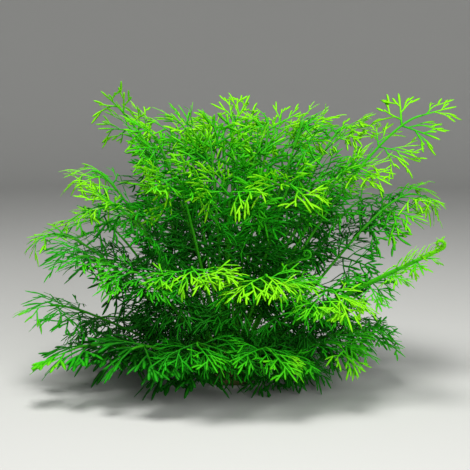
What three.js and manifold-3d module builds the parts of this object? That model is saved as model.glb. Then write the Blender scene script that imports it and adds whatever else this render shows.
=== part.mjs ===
// A water sprite, the aquarium fern, as one plant: finely divided fronds that rise from a short crown.
// Millimetres, +Z up, seen from the front along +Y. The origin is the centre of the crown's flat cut base.
// Each frond is one leaf: a stalk that bends along a curve, and leaflets that stand on it in pairs.

import * as THREE from "three";
import { mergeVertices } from "three/addons/utils/BufferGeometryUtils.js";
import Module from "manifold-3d";

const wasm = await Module();
wasm.setup();

// The crown
const crownRadius = 23;
const crownRise = 17; // from the widest ring to the top
const crownWaist = 7; // height of the widest ring
const crownFoot = 20; // radius of the flat cut base
const crownSides = 16;
const crownRows = 4;
const crownGap = 0.4; // between the crown and each stalk

// The stalks
const usualLength = 200;
const stalkThin = 0.75; // radius at the far end, where the habit gives no other
const stalkTaper = 0.8; // a power: under 1, most of the thickness goes near the crown
const startShare = 0.32; // how far the stalk runs straight out of the crown, as a share of the way to the tip
const bowShare = 0.62; // where the bow point stands, as a share of the way to the tip
const sway = 14; // the most that a stalk bends to one side on its way

// The end of a frond that is still rolled up
const rollRadius = 3.4;
const rollTurns = 1.15;
const rollShrink = 0.62; // the share of the radius lost by the end of the roll
const rollSteps = 12;
const rollThin = 0.5; // radius of the stalk at the end of the roll

// The leaflets
const leafletSwell = 1; // how far its middle stands above its rim
const clearance = 0.4; // kept above and below each leaflet
const footHalf = 1.2; // half the width of a leaflet's foot, measured along the stalk
const touching = 0.00005; // solids that share no more volume than this only touch
const floorGap = 0.4;
const outwardLean = 0.5; // how far a level leaflet faces away from the plant's middle
const widest = { along: 0.44, across: 0.36 }; // shares of the length, and of the length times the width
const middle = 0.5; // where it is thickest
const sag = 0.16; // how far its tip bends down, as a share of its length
const shortening = 0.34; // the share of the length lost from the first pair to the last, as usual
const shorteningPower = 1.3;
const endLength = 0.62; // of the leaflet at the tip, as a share of the first pair's
const endLevel = 0.3; // how far the leaflet at the tip lies flat, as a share of the others'
const loose = { length: 0.1, swing: 8, lift: 9, roll: 17 }; // how far leaflets differ, the turns in degrees

// How a frond of each habit is divided. thick is the stalk's radius at the crown for a stalk of usual length,
// thin its radius at the far end, bare the share of the stalk with no leaflets and steps its rings there.
// reach is the longest leaflet, shortening the share of it that the last pair lacks, level how far the
// leaflets lie flat, and spread their angle from the stalk at the first pair and the last. A rolled frond has
// no leaflet at its tip.
const habits = {
  fine: { thick: 1.4, bare: 0.2, steps: 2, pairs: 5, reach: 52, level: 0.62, spread: [68, 50], width: 0.95 },
  stout: {
    thick: 2.9,
    thin: 1.3,
    bare: 0.34,
    steps: 3,
    pairs: 6,
    reach: 54,
    shortening: 0.8,
    level: 0.45,
    spread: [72, 42],
    width: 0.95,
    rolled: true,
  },
  tall: { thick: 1.4, bare: 0.36, steps: 3, pairs: 5, reach: 50, level: 0.25, spread: [66, 50], width: 0.95 },
  lank: { thick: 1.35, bare: 0.22, steps: 2, pairs: 6, reach: 46, level: 0.3, spread: [60, 44], width: 0.8 },
  strap: { thick: 1.6, bare: 0.24, steps: 2, pairs: 4, reach: 54, level: 0.5, spread: [54, 42], width: 0.75 },
  young: { thick: 1.6, bare: 1, steps: 7, pairs: 0, reach: 0, rolled: true },
};

// Each ring of fronds leaves the crown at one elevation, evenly spaced from the ring's first azimuth.
// A row gives the place that the frond's last leaflet reaches, how far its bow point stands above that,
// the turn of its blade about the stalk, and its habit: [x, y, z, nod, turn, habit].
const rings = [
  {
    elevation: 20,
    first: -3,
    fronds: [
      [134, -16, 22, 24, 0, "fine"],
      [118, 76, 12, 30, 0, "fine"],
      [68, 118, 10, 30, 0, "lank"],
      [-4, 132, 12, 30, 0, "fine"],
      [-74, 118, 10, 32, 0, "lank"],
      [-132, 68, 14, 34, 0, "fine"],
      [-158, -28, 62, -2, -20, "lank"],
      [-138, -74, 24, 20, 0, "strap"],
      [-84, -112, 30, 20, 0, "strap"],
      [-26, -132, 36, 20, 0, "fine"],
      [36, -130, 32, 20, 0, "fine"],
      [98, -98, 28, 22, 0, "fine"],
    ],
  },
  {
    elevation: 42,
    first: -24,
    fronds: [
      [146, -80, 112, -30, 15, "stout"],
      [170, 14, 132, 14, 30, "tall"],
      [140, 66, 120, 20, 20, "tall"],
      [88, 112, 112, 20, 0, "fine"],
      [26, 134, 104, 20, 0, "fine"],
      [-34, 130, 108, 18, 0, "lank"],
      [-88, 108, 114, 18, 0, "fine"],
      [-136, 58, 108, 16, -20, "lank"],
      [-160, -8, 102, 18, -25, "lank"],
      [-130, -66, 92, 18, -10, "lank"],
      [-86, -108, 84, 18, 0, "fine"],
      [-30, -128, 88, 20, 0, "fine"],
      [34, -128, 84, 18, 0, "fine"],
      [92, -112, 72, 18, 0, "fine"],
    ],
  },
  {
    elevation: 62,
    first: 4,
    fronds: [
      [170, 2, 204, -12, 50, "lank"],
      [118, 74, 186, 2, 0, "tall"],
      [52, 106, 180, 6, 0, "tall"],
      [-8, 116, 184, 6, 0, "lank"],
      [-64, 92, 186, 2, 0, "tall"],
      [-92, 30, 220, -46, 70, "lank"],
      [-128, -8, 156, 4, -20, "lank"],
      [-110, -70, 134, 8, 0, "tall"],
      [-50, -94, 152, 8, 0, "tall"],
      [6, -104, 140, 12, 0, "tall"],
      [60, -90, 146, 10, 0, "tall"],
      [114, -52, 156, 8, 10, "tall"],
    ],
  },
  {
    elevation: 78,
    first: 45,
    fronds: [
      [40, 34, 220, -34, 60, "lank"],
      [-4, 56, 206, -10, 40, "tall"],
      [-48, 34, 210, -20, 30, "tall"],
      [-70, -16, 204, -30, -60, "lank"],
      [-26, -54, 190, -6, 0, "tall"],
      [36, -50, 180, -6, 20, "tall"],
      [84, -6, 206, -12, 20, "tall"],
    ],
  },
  { elevation: 30, first: 255, fronds: [[-48, -78, 52, 14, 0, "fine"]] },
  { elevation: 30, first: 285, fronds: [[6, -84, 58, 14, 0, "fine"]] },
  { elevation: 30, first: 315, fronds: [[62, -64, 36, 6, 0, "fine"]] },
  { elevation: 70, first: 19, fronds: [[100, 30, 168, -20, 0, "young"]] },
  { elevation: 70, first: 109, fronds: [[-26, 70, 148, -20, 0, "young"]] },
  { elevation: 70, first: 319, fronds: [[56, -50, 100, -4, 0, "young"]] },
];

// The ways that a leaflet may turn to miss its neighbours, tried in order at each size: [swing, lift, roll].
const leafletSizes = [1, 0.86, 0.72, 0.58, 0.44];
const leafletTurns = [
  [0, 0, 0],
  [0, 14, 0],
  [0, -14, 0],
  [14, 0, 0],
  [-14, 0, 0],
  [0, 0, 22],
  [0, 0, -22],
  [14, 14, 0],
  [-14, 14, 0],
  [14, -14, 0],
  [-14, -14, 0],
  [0, 26, 0],
  [0, -26, 0],
];

const up = new THREE.Vector3(0, 0, 1);
const radians = THREE.MathUtils.degToRad;

// A number from 0 to 1 that depends only on its arguments.
function chance(frond, leaflet, use) {
  const wave = Math.sin(frond * 12.9898 + leaflet * 78.233 + use * 37.719) * 43758.5453;
  return wave - Math.floor(wave);
}

function around(spread, frond, leaflet, use) {
  return spread * (2 * chance(frond, leaflet, use) - 1);
}

function solidOf(geometry) {
  geometry.deleteAttribute("normal");
  geometry.deleteAttribute("uv");
  const merged = mergeVertices(geometry, 1e-4);
  return new wasm.Manifold(
    new wasm.Mesh({
      numProp: 3,
      vertProperties: merged.attributes.position.array,
      triVerts: new Uint32Array(merged.index.array),
    }),
  );
}

function geometryOfFaces(faces) {
  return new THREE.BufferGeometry().setFromPoints(faces.flat());
}

function geometryOf(solid) {
  const mesh = solid.getMesh();
  const geometry = new THREE.BufferGeometry();
  geometry.setAttribute("position", new THREE.BufferAttribute(mesh.vertProperties, 3));
  geometry.setIndex(new THREE.BufferAttribute(mesh.triVerts, 1));
  geometry.computeVertexNormals();
  return geometry;
}

// The stalk's curve: it leaves the crown square to its surface, bends at its bow point and ends at the tip.
function stalkCurve(number, [x, y, z, nod, , habit], azimuth, elevation) {
  const [a, e] = [radians(azimuth), radians(elevation)];
  const out = new THREE.Vector3(Math.cos(a) * Math.cos(e), Math.sin(a) * Math.cos(e), Math.sin(e));
  const root = new THREE.Vector3(
    out.x * crownRadius,
    out.y * crownRadius,
    crownWaist + out.z * crownRise,
  ).addScaledVector(out, crownGap);
  const tip = new THREE.Vector3(x, y, z);
  const bow = root.clone().lerp(tip, bowShare).setZ(z + nod);
  const last = habits[habit].rolled ? 0 : endLength * habits[habit].reach;
  tip.addScaledVector(bow.clone().sub(tip).normalize(), last);
  const start = root.clone().addScaledVector(out, startShare * root.distanceTo(tip));
  const aside = new THREE.Vector3(root.y - tip.y, tip.x - root.x, 0).normalize();
  bow.addScaledVector(aside, around(sway, number, 0, 5));
  return new THREE.CubicBezierCurve3(root, start, bow, tip);
}

// The stalk's own directions at t: along it, to its left, and the way its upper side faces.
function bladeFrame(frond, t) {
  const along = frond.curve.getTangent(t);
  const [root, tip] = [frond.curve.v0, frond.curve.v3];
  const left = new THREE.Vector3(root.y - tip.y, tip.x - root.x, 0);
  left.addScaledVector(along, -left.dot(along)).normalize();
  left.applyAxisAngle(along, radians(frond.turn) * t);
  return { along, left, face: new THREE.Vector3().crossVectors(along, left) };
}

function stalkRadius(frond, t) {
  const { thick, thin = stalkThin } = habits[frond.habit];
  const root = thick * Math.sqrt(frond.curve.getLength() / usualLength);
  return THREE.MathUtils.lerp(root, thin, Math.pow(t, stalkTaper));
}

// The four corners of a stalk: upper left, upper right, lower right and lower left.
function cornersAround(centre, { left, face }, radius) {
  const half = radius * Math.SQRT1_2;
  const corner = (l, f) => centre.clone().addScaledVector(left, l * half).addScaledVector(face, f * half);
  return [corner(1, 1), corner(-1, 1), corner(-1, -1), corner(1, -1)];
}

function stalkCorners(frond, t) {
  return cornersAround(frond.curve.getPoint(t), bladeFrame(frond, t), stalkRadius(frond, t));
}

// The rings of a frond's roll, which turns up and over towards the frond's upper side.
function rollRings(frond) {
  const frame = bladeFrame(frond, 1);
  const centre = frond.curve.getPoint(1);
  const turn = (2 * Math.PI * rollTurns) / rollSteps;
  const rings = [];
  for (let i = 1; i <= rollSteps; i++) {
    const share = i / rollSteps;
    const radius = rollRadius * (1 - rollShrink * share);
    frame.along.applyAxisAngle(frame.left, -turn);
    frame.face.applyAxisAngle(frame.left, -turn);
    centre.addScaledVector(frame.along, radius * turn);
    rings.push(cornersAround(centre, frame, THREE.MathUtils.lerp(stalkRadius(frond, 1), rollThin, share)));
  }
  return rings;
}

// The two triangles of a four-sided facet.
function facet(a, b, c, d) {
  return [
    [a, b, c],
    [a, c, d],
  ];
}

// The facets of the stalk between two of its rings, in the order upper, lower, left and right.
function facetsBetween(near, far) {
  return [
    [near[0], near[1], far[1], far[0]],
    [near[2], near[3], far[3], far[2]],
    [near[0], far[0], far[3], near[3]],
    [far[1], near[1], near[2], far[2]],
  ];
}

// Where a leaflet stands before it makes room for its neighbours. side is 1 on the left, -1 on the right
// and 0 for the leaflet at the tip.
function leafletStance(frond, pair, side) {
  const habit = habits[frond.habit];
  const share = side === 0 ? 1 : pair / habit.pairs;
  const t = THREE.MathUtils.lerp(habit.bare, 1, share);
  const { along, left, face } = bladeFrame(frond, t);
  const foot = frond.curve.getPoint(t);
  const number = 3 * pair + side + 1;

  const angle = side === 0 ? 0 : radians(THREE.MathUtils.lerp(...habit.spread, share));
  const out = new THREE.Vector3(foot.x, foot.y, 0).normalize();
  const level = up.clone().addScaledVector(out, outwardLean).normalize();
  const ahead = along.clone().multiplyScalar(Math.cos(angle)).addScaledVector(left, side * Math.sin(angle));
  const flat = side === 0 ? endLevel * habit.level : habit.level;
  ahead.addScaledVector(level, -flat * ahead.dot(level)).normalize();
  const normal = face.clone().lerp(level, habit.level);
  normal.addScaledVector(ahead, -normal.dot(ahead)).normalize();

  const lost = (habit.shortening ?? shortening) * Math.pow(share, shorteningPower);
  const taper = side === 0 ? endLength : 1 - lost;
  const length = habit.reach * taper * (1 + around(loose.length, frond.number, number, 1));
  const stance = { foot, ahead, normal, length, width: habit.width, hand: side || 1 };
  return turned(stance, [
    around(loose.swing, frond.number, number, 2),
    around(loose.lift, frond.number, number, 3),
    around(loose.roll, frond.number, number, 4),
  ]);
}

// The same leaflet after a swing in its own plane, a lift of its tip and a roll about its length.
function turned(stance, [swing, lift, roll], size = 1) {
  const ahead = stance.ahead.clone().applyAxisAngle(stance.normal, radians(swing * stance.hand));
  const across = new THREE.Vector3().crossVectors(ahead, stance.normal);
  ahead.applyAxisAngle(across, radians(lift));
  const normal = stance.normal.clone().applyAxisAngle(across, radians(lift));
  normal.applyAxisAngle(ahead, radians(roll * stance.hand));
  return { ...stance, ahead, normal, length: stance.length * size };
}

// A place on a leaflet: shares of its length along and across it, and millimetres above its surface.
function leafletPoint(stance, x, y, lift) {
  const across = new THREE.Vector3().crossVectors(stance.ahead, stance.normal);
  const bend = -sag * stance.length * x * x;
  return stance.foot
    .clone()
    .addScaledVector(stance.ahead, stance.length * x)
    .addScaledVector(across, stance.length * stance.width * y)
    .addScaledVector(stance.normal, bend + lift);
}

// The corners of a leaflet's rim: right, left and tip.
function leafletRim(stance) {
  const side = (hand) => leafletPoint(stance, widest.along, hand * widest.across, 0);
  return [side(1), side(-1), leafletPoint(stance, 1, 0, 0)];
}

// The corners of a facet, in order from the one that is nearest the leaflet's own upper left.
function cornersFor(stance, corners) {
  const across = new THREE.Vector3().crossVectors(stance.ahead, stance.normal);
  const between = ([p, q], [r, s]) => p.clone().add(q).sub(r).sub(s);
  const fit = ([a, b, c, d]) => {
    return between([b, c], [a, d]).dot(across) + between([a, b], [c, d]).dot(stance.normal);
  };
  const orders = corners.map((_, i) => [...corners.slice(i), ...corners.slice(0, i)]);
  return orders.sort((first, second) => fit(second) - fit(first))[0];
}

// The surface of a leaflet that grows from a facet of the stalk, whose corners are in order round it. Its
// underside is folded across its widest part, and from there to the foot's lowest corner.
function leafletFaces(corners, stance) {
  const [a, b, c, d] = cornersFor(stance, corners);
  const [right, left, tip] = leafletRim(stance);
  const over = leafletPoint(stance, middle, 0, leafletSwell);
  const upper = [[b, right], [right, tip], [tip, left], [left, a], [a, b]];
  const upward = c.clone().sub(d).dot(stance.normal);
  const lower = upward > 0 ? facet(right, c, d, left) : facet(c, d, left, right);
  return [
    ...upper.map((edge) => [...edge, over]),
    ...lower,
    [right, left, tip],
    [right, b, c],
    [a, left, d],
  ];
}

function hullOf(points) {
  return wasm.Manifold.hull(points.map((point) => point.toArray()));
}

// The room that a leaflet takes up, with a clearance above and below it.
function leafletRoom(corners, stance) {
  const height = leafletSwell + clearance;
  const middles = [height, -height].map((lift) => leafletPoint(stance, middle, 0, lift));
  return hullOf([...corners, ...leafletRim(stance), ...middles]);
}

// A leaflet by itself, closed across its foot.
function leafletSolid(corners, stance) {
  const foot = facet(...corners).map((triangle) => triangle.toReversed());
  return solidOf(geometryOfFaces([...leafletFaces(corners, stance), ...foot]));
}

function sharedVolume(one, other) {
  const common = one.intersect(other);
  const volume = Math.abs(common.volume());
  common.delete();
  return volume;
}

function boxesMeet(a, b) {
  return [0, 1, 2].every((k) => a.min[k] < b.max[k] && b.min[k] < a.max[k]);
}

function meets(solid, obstacles) {
  const box = solid.boundingBox();
  return obstacles.some((other) => {
    return boxesMeet(box, other.box) && sharedVolume(solid, other.solid) > touching;
  });
}

function obstacle(owner, kind, solid) {
  return { owner, kind, solid, box: solid.boundingBox() };
}

// Turns and shortens a leaflet until it is clear of everything placed before it, or leaves it out.
function placedLeaflet(frond, corners, stance, obstacles) {
  const isOwnStalk = (piece) => piece.owner === frond && piece.kind === "stalk";
  const ownStalk = obstacles.filter(isOwnStalk);
  const others = obstacles.filter((piece) => !isOwnStalk(piece));
  for (const size of leafletSizes)
    for (const turn of leafletTurns) {
      const tried = turned(stance, turn, size);
      const room = leafletRoom(corners, tried);
      const leaflet = leafletSolid(corners, tried);
      const low = room.boundingBox().min[2] < floorGap;
      const blocked = low || meets(room, others) || meets(leaflet, ownStalk);
      leaflet.delete();
      if (!blocked) return { stance: tried, room };
      room.delete();
    }
  return null;
}

// The rings of a stalk: evenly spaced up to the first leaflets, then one on each side of every pair's feet.
function stalkRings(frond) {
  const { pairs, bare, steps, rolled } = habits[frond.habit];
  const half = footHalf / frond.curve.getLength();
  const rings = [];
  for (let i = 0; i < steps; i++) rings.push((bare * i) / steps);
  for (let pair = 0; pair < pairs; pair++) {
    const t = THREE.MathUtils.lerp(bare, 1, pair / pairs);
    rings.push(t - half, t + half);
  }
  return [...rings, 1].map((t) => stalkCorners(frond, t)).concat(rolled ? rollRings(frond) : []);
}

// The facet that a leaflet grows from.
function footFacet(frond, pair, side) {
  const { rings } = frond;
  if (side === 0) return rings[rings.length - 1];
  const near = habits[frond.habit].steps + 2 * pair;
  return facetsBetween(rings[near], rings[near + 1])[side === 1 ? 2 : 3];
}

function stalkFaces(frond) {
  const { rings } = frond;
  const faces = facet(...[1, 0, 3, 2].map((corner) => rings[0][corner]));
  for (let i = 1; i < rings.length; i++) {
    const pair = (i - 1 - habits[frond.habit].steps) / 2;
    facetsBetween(rings[i - 1], rings[i]).forEach((corners, n) => {
      const leaflet = n >= 2 && frond.leaflets[`${pair},${n === 2 ? 1 : -1}`];
      faces.push(...(leaflet ? leafletFaces(corners, leaflet) : facet(...corners)));
    });
  }
  const corners = rings[rings.length - 1];
  const last = frond.leaflets[`${habits[frond.habit].pairs},0`];
  faces.push(...(last ? leafletFaces(corners, last) : facet(...corners)));
  return faces;
}

function crownSolid() {
  const profile = [new THREE.Vector2(0, 0), new THREE.Vector2(crownFoot, 0)];
  for (let i = 0; i < crownRows; i++) {
    const angle = (i / crownRows) * (Math.PI / 2);
    const [radius, height] = [crownRadius * Math.cos(angle), crownWaist + crownRise * Math.sin(angle)];
    profile.push(new THREE.Vector2(radius, height));
  }
  profile.push(new THREE.Vector2(0, crownWaist + crownRise));
  return solidOf(new THREE.LatheGeometry(profile, crownSides).rotateX(Math.PI / 2));
}

const crownMaterial = new THREE.MeshStandardMaterial({ color: 0x5b6a2a, roughness: 0.85 });
const leafMaterials = {
  fine: new THREE.MeshStandardMaterial({ color: 0x4fc41a, roughness: 0.45 }),
  stout: new THREE.MeshStandardMaterial({ color: 0x5cc81c, roughness: 0.45 }),
  tall: new THREE.MeshStandardMaterial({ color: 0x62cc1c, roughness: 0.45 }),
  lank: new THREE.MeshStandardMaterial({ color: 0x3aa81e, roughness: 0.45 }),
  strap: new THREE.MeshStandardMaterial({ color: 0x1f8c22, roughness: 0.45 }),
  young: new THREE.MeshStandardMaterial({ color: 0x86d836, roughness: 0.45 }),
};

const fronds = [];
for (const ring of rings)
  ring.fronds.forEach((row, i) => {
    const [number, turn, habit] = [fronds.length + 1, row[4], row[5]];
    const kind = habit === "young" ? "young_frond" : "frond";
    const frond = { number, turn, habit, name: `${kind}_${String(number).padStart(2, "0")}`, leaflets: {} };
    frond.curve = stalkCurve(number, row, ring.first + (360 * i) / ring.fronds.length, ring.elevation);
    frond.rings = stalkRings(frond);
    fronds.push(frond);
  });

const placed = fronds.map((frond) => obstacle(frond, "stalk", solidOf(geometryOfFaces(stalkFaces(frond)))));
const mostPairs = Math.max(...Object.values(habits).map((habit) => habit.pairs));
for (let pair = 0; pair <= mostPairs; pair++)
  for (const frond of fronds)
    for (const side of [1, -1, 0]) {
      const { pairs, rolled } = habits[frond.habit];
      if (side === 0 ? rolled || pair !== pairs : pair >= pairs) continue;
      const corners = footFacet(frond, pair, side);
      const found = placedLeaflet(frond, corners, leafletStance(frond, pair, side), placed);
      if (!found) continue;
      placed.push(obstacle(frond, "leaflet", found.room));
      frond.leaflets[`${pair},${side}`] = found.stance;
    }

const plant = new THREE.Group();
const crown = new THREE.Mesh(geometryOf(crownSolid()), crownMaterial);
crown.name = "crown";
plant.add(crown);
for (const frond of fronds) {
  const solid = solidOf(geometryOfFaces(stalkFaces(frond)));
  const mesh = new THREE.Mesh(geometryOf(solid), leafMaterials[frond.habit]);
  mesh.name = frond.name;
  plant.add(mesh);
}

export default plant;
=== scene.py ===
"""A water sprite: finely cut green fronds that arch out of a short scaly crown, on a pale studio floor.

Lengths are in millimetres until a piece is made, and MM turns them into metres.
"""

import math
import random

import bpy
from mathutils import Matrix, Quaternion, Vector
from mathutils.kdtree import KDTree


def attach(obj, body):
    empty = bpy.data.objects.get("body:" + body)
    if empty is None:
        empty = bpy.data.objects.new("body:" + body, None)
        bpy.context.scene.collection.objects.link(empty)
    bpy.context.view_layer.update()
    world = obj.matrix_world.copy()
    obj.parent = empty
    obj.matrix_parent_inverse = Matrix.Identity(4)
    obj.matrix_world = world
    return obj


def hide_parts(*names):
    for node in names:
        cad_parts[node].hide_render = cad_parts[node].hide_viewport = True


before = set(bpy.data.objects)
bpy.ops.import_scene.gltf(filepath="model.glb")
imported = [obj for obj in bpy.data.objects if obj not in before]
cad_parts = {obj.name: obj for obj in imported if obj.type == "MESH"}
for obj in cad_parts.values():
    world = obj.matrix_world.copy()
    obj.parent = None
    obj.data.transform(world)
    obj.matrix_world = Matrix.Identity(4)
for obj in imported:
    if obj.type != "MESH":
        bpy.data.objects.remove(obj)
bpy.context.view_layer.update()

MM = 0.001
UP = Vector((0, 0, 1))

# The photograph: how it looks at the plant
VIEW_TARGET = Vector((5, 0, 110))
VIEW_DISTANCE = 900
VIEW_ELEVATION = math.radians(8)
VIEW_SCALE = 0.745  # millimetres a pixel at the target
FRAME_WIDTH = 470
SENSOR = 36

# The crown and the stalks, as the solids have them
CROWN_RADIUS = 23
CROWN_RISE = 17
CROWN_WAIST = 7
CROWN_GAP = 0.4
USUAL_LENGTH = 200
STALK_THIN = 0.75
STALK_TAPER = 0.8
START_SHARE = 0.32
BOW_SHARE = 0.62
SWAY = 14
ROLL_RADIUS = 3.4
ROLL_TURNS = 1.15
ROLL_SHRINK = 0.62
ROLL_THIN = 0.5
LENGTH_STEPS = 200

# The leaflets, as the solids have them
OUTWARD_LEAN = 0.5
SAG = 0.16
SHORTENING = 0.34
SHORTENING_POWER = 1.3
END_LENGTH = 0.62
END_LEVEL = 0.3
LOOSE_LENGTH = 0.1
LOOSE_SWING = 8
LOOSE_LIFT = 9
LOOSE_ROLL = 17
LEAFLET_SIZES = (1, 0.86, 0.72, 0.58, 0.44)
LEAFLET_TURNS = (
    (0, 0, 0),
    (0, 14, 0),
    (0, -14, 0),
    (14, 0, 0),
    (-14, 0, 0),
    (0, 0, 22),
    (0, 0, -22),
    (14, 14, 0),
    (-14, 14, 0),
    (14, -14, 0),
    (-14, -14, 0),
    (0, 26, 0),
    (0, -26, 0),
)
MATCH = 0.25  # how near a solid's corner must be to a leaflet's tip

# How a frond is divided. thick and thin are its stalk's radii at the crown and at its end, and bare is the
# share of the stalk that has no leaflets. pairs is how many pairs it has below the leaflet at its end, reach
# the length of the first, and shortening what the last has lost of that. level is how far a leaflet lies
# level instead of in the frond's plane, and spread its angle from the stalk at the first and the last pair.
HABITS = {
    "fine": dict(thick=1.4, bare=0.2, pairs=5, reach=52, level=0.62, spread=(68, 50)),
    "stout": dict(
        thick=2.9,
        thin=1.3,
        bare=0.34,
        pairs=6,
        reach=54,
        level=0.45,
        spread=(72, 42),
        shortening=0.8,
        rolled=True,
    ),
    "tall": dict(thick=1.4, bare=0.36, pairs=5, reach=50, level=0.25, spread=(66, 50)),
    "lank": dict(thick=1.35, bare=0.22, pairs=6, reach=46, level=0.3, spread=(60, 44)),
    "strap": dict(thick=1.6, bare=0.24, pairs=4, reach=54, level=0.5, spread=(54, 42)),
    "young": dict(thick=1.6, bare=1, pairs=0, reach=0, rolled=True),
}

# Each ring of fronds: its elevation and first azimuth at the crown, then for each frond the place that its
# last leaflet reaches, its nod, the turn of its blade and its habit.
RINGS = (
    (20, -3, (
        (134, -16, 22, 24, 0, "fine"),
        (118, 76, 12, 30, 0, "fine"),
        (68, 118, 10, 30, 0, "lank"),
        (-4, 132, 12, 30, 0, "fine"),
        (-74, 118, 10, 32, 0, "lank"),
        (-132, 68, 14, 34, 0, "fine"),
        (-158, -28, 62, -2, -20, "lank"),
        (-138, -74, 24, 20, 0, "strap"),
        (-84, -112, 30, 20, 0, "strap"),
        (-26, -132, 36, 20, 0, "fine"),
        (36, -130, 32, 20, 0, "fine"),
        (98, -98, 28, 22, 0, "fine"),
    )),
    (42, -24, (
        (146, -80, 112, -30, 15, "stout"),
        (170, 14, 132, 14, 30, "tall"),
        (140, 66, 120, 20, 20, "tall"),
        (88, 112, 112, 20, 0, "fine"),
        (26, 134, 104, 20, 0, "fine"),
        (-34, 130, 108, 18, 0, "lank"),
        (-88, 108, 114, 18, 0, "fine"),
        (-136, 58, 108, 16, -20, "lank"),
        (-160, -8, 102, 18, -25, "lank"),
        (-130, -66, 92, 18, -10, "lank"),
        (-86, -108, 84, 18, 0, "fine"),
        (-30, -128, 88, 20, 0, "fine"),
        (34, -128, 84, 18, 0, "fine"),
        (92, -112, 72, 18, 0, "fine"),
    )),
    (62, 4, (
        (170, 2, 204, -12, 50, "lank"),
        (118, 74, 186, 2, 0, "tall"),
        (52, 106, 180, 6, 0, "tall"),
        (-8, 116, 184, 6, 0, "lank"),
        (-64, 92, 186, 2, 0, "tall"),
        (-92, 30, 220, -46, 70, "lank"),
        (-128, -8, 156, 4, -20, "lank"),
        (-110, -70, 134, 8, 0, "tall"),
        (-50, -94, 152, 8, 0, "tall"),
        (6, -104, 140, 12, 0, "tall"),
        (60, -90, 146, 10, 0, "tall"),
        (114, -52, 156, 8, 10, "tall"),
    )),
    (78, 45, (
        (40, 34, 220, -34, 60, "lank"),
        (-4, 56, 206, -10, 40, "tall"),
        (-48, 34, 210, -20, 30, "tall"),
        (-70, -16, 204, -30, -60, "lank"),
        (-26, -54, 190, -6, 0, "tall"),
        (36, -50, 180, -6, 20, "tall"),
        (84, -6, 206, -12, 20, "tall"),
    )),
    (30, 255, ((-48, -78, 52, 14, 0, "fine"),)),
    (30, 285, ((6, -84, 58, 14, 0, "fine"),)),
    (30, 315, ((62, -64, 36, 6, 0, "fine"),)),
    (70, 19, ((100, 30, 168, -20, 0, "young"),)),
    (70, 109, ((-26, 70, 148, -20, 0, "young"),)),
    (70, 319, ((56, -50, 100, -4, 0, "young"),)),
)

# How the blade of a leaflet is cut up. Rank 0 is the leaflet's own axis, 1 a branch of it and 2 a segment.
# first is the share of an axis that is bare, step the way from one branch to the next on the other side,
# span the width of a branch's foot, and angle how far a branch leans from its axis near the foot and near
# the tip. fill is how long a branch is for the room it has, spare how far it may pass its axis's own tip,
# least the shortest one, and wide an axis's half width. curl bends an axis, in the blade's plane and out of
# it, and tilt turns a branch out of the plane where it starts.
CUTS = {
    "fine": dict(
        first=(0.11, 0.22, 0.4),
        step=(5.4, 5.0, 7.0),
        span=(1.8, 1.7, 1.6),
        angle=((58, 34), (48, 32), (36, 30)),
        fill=(0.72, 1.0, 1.0),
        spare=(0, 3.6, 3.6),
        least=(5.6, 5.4, 5.4),
        wide=(0.74, 0.72, 0.84),
        curl=(16, 30, 38),
        tilt=(18, 26, 20),
    ),
    "tall": dict(
        first=(0.12, 0.24, 0.42),
        step=(6.2, 6.0, 9.0),
        span=(2.0, 1.9, 1.8),
        angle=((58, 36), (50, 36), (40, 34)),
        fill=(0.74, 1.05, 1.0),
        spare=(0, 5.0, 4.4),
        least=(6.4, 6.4, 6.0),
        wide=(0.78, 0.78, 0.94),
        curl=(16, 34, 44),
        tilt=(18, 26, 20),
    ),
    "lank": dict(
        first=(0.15, 0.26, 0.5),
        step=(7.4, 7.0, 13.0),
        span=(2.0, 1.8, 1.7),
        angle=((50, 30), (36, 24), (22, 18)),
        fill=(0.8, 1.1, 1.0),
        spare=(0, 5.0, 4.0),
        least=(6.6, 6.6, 8.8),
        wide=(0.8, 0.76, 0.92),
        curl=(14, 24, 26),
        tilt=(16, 24, 18),
    ),
    "strap": dict(
        first=(0.15, 0.24, 0.5),
        step=(7.0, 7.4, 12.0),
        span=(3.0, 3.0, 2.8),
        angle=((44, 28), (34, 22), (24, 20)),
        fill=(0.76, 1.0, 1.0),
        spare=(0, 4.0, 3.0),
        least=(7.0, 6.0, 10.0),
        wide=(1.2, 1.3, 1.65),
        curl=(14, 20, 20),
        tilt=(10, 14, 12),
    ),
}
CUTS["stout"] = {**CUTS["fine"], "first": (0.22, 0.22, 0.4)}
CUT_LENGTHS = (16, 22, 30, 40, 52)
CUT_SEEDS = 6
LONG_SEGMENT = 5.0  # a segment longer than this is bent three times
SMALL_STEPS = 0.7  # how much closer the branches stand on the smallest blades
LEAN_SPREAD = 5  # how far at most a branch leans from the angle that its cut gives, in degrees
REACH_SPREAD = (0.82, 1.08)
FORWARD_COST = 0.58  # how much of its room a branch uses up by reaching forwards
CROWDING = 0.3  # how much closer the branches stand at an axis's tip
SHORTEST_STEP = 0.3  # a ring nearer than this to the last one is left out
MAIN_CURL = 7  # how far at most a blade's main axis bends in its plane, in degrees
CURL_RANGE = (-0.2, 1)  # which share of its curl a branch gets
ARCH_RANGE = (-1.0, 0.5)  # the same for its bend out of the plane
NARROWING = 0.35  # how much of its width an axis loses by its tip
LONG_STRAP = ((0.3, 0.96), (0.66, 0.95), (0.9, 0.55))  # a segment's width on the way to its point
SHORT_STRAP = ((0.45, 1.0), (0.84, 0.6))
FOOT_THICK = 0.8  # half the thickness of a blade's foot, as a share of its half width
AXIS_SWELL = 0.55  # the same for an axis
SEGMENT_SWELL = 0.2  # half the thickness of a segment
BRANCH_SWELL = 0.5  # how thick a branch's foot is, as a share of its axis there
BRANCH_EDGE = 0.4  # how near to an edge a branch's foot counts, where 0 is the middle and 1 the edge
SIDE_SAG = 0.012  # how much a blade's sides hang, for each square millimetre of their width
FLOOR_GAP = 0.35


# The fronds' curves


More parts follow.
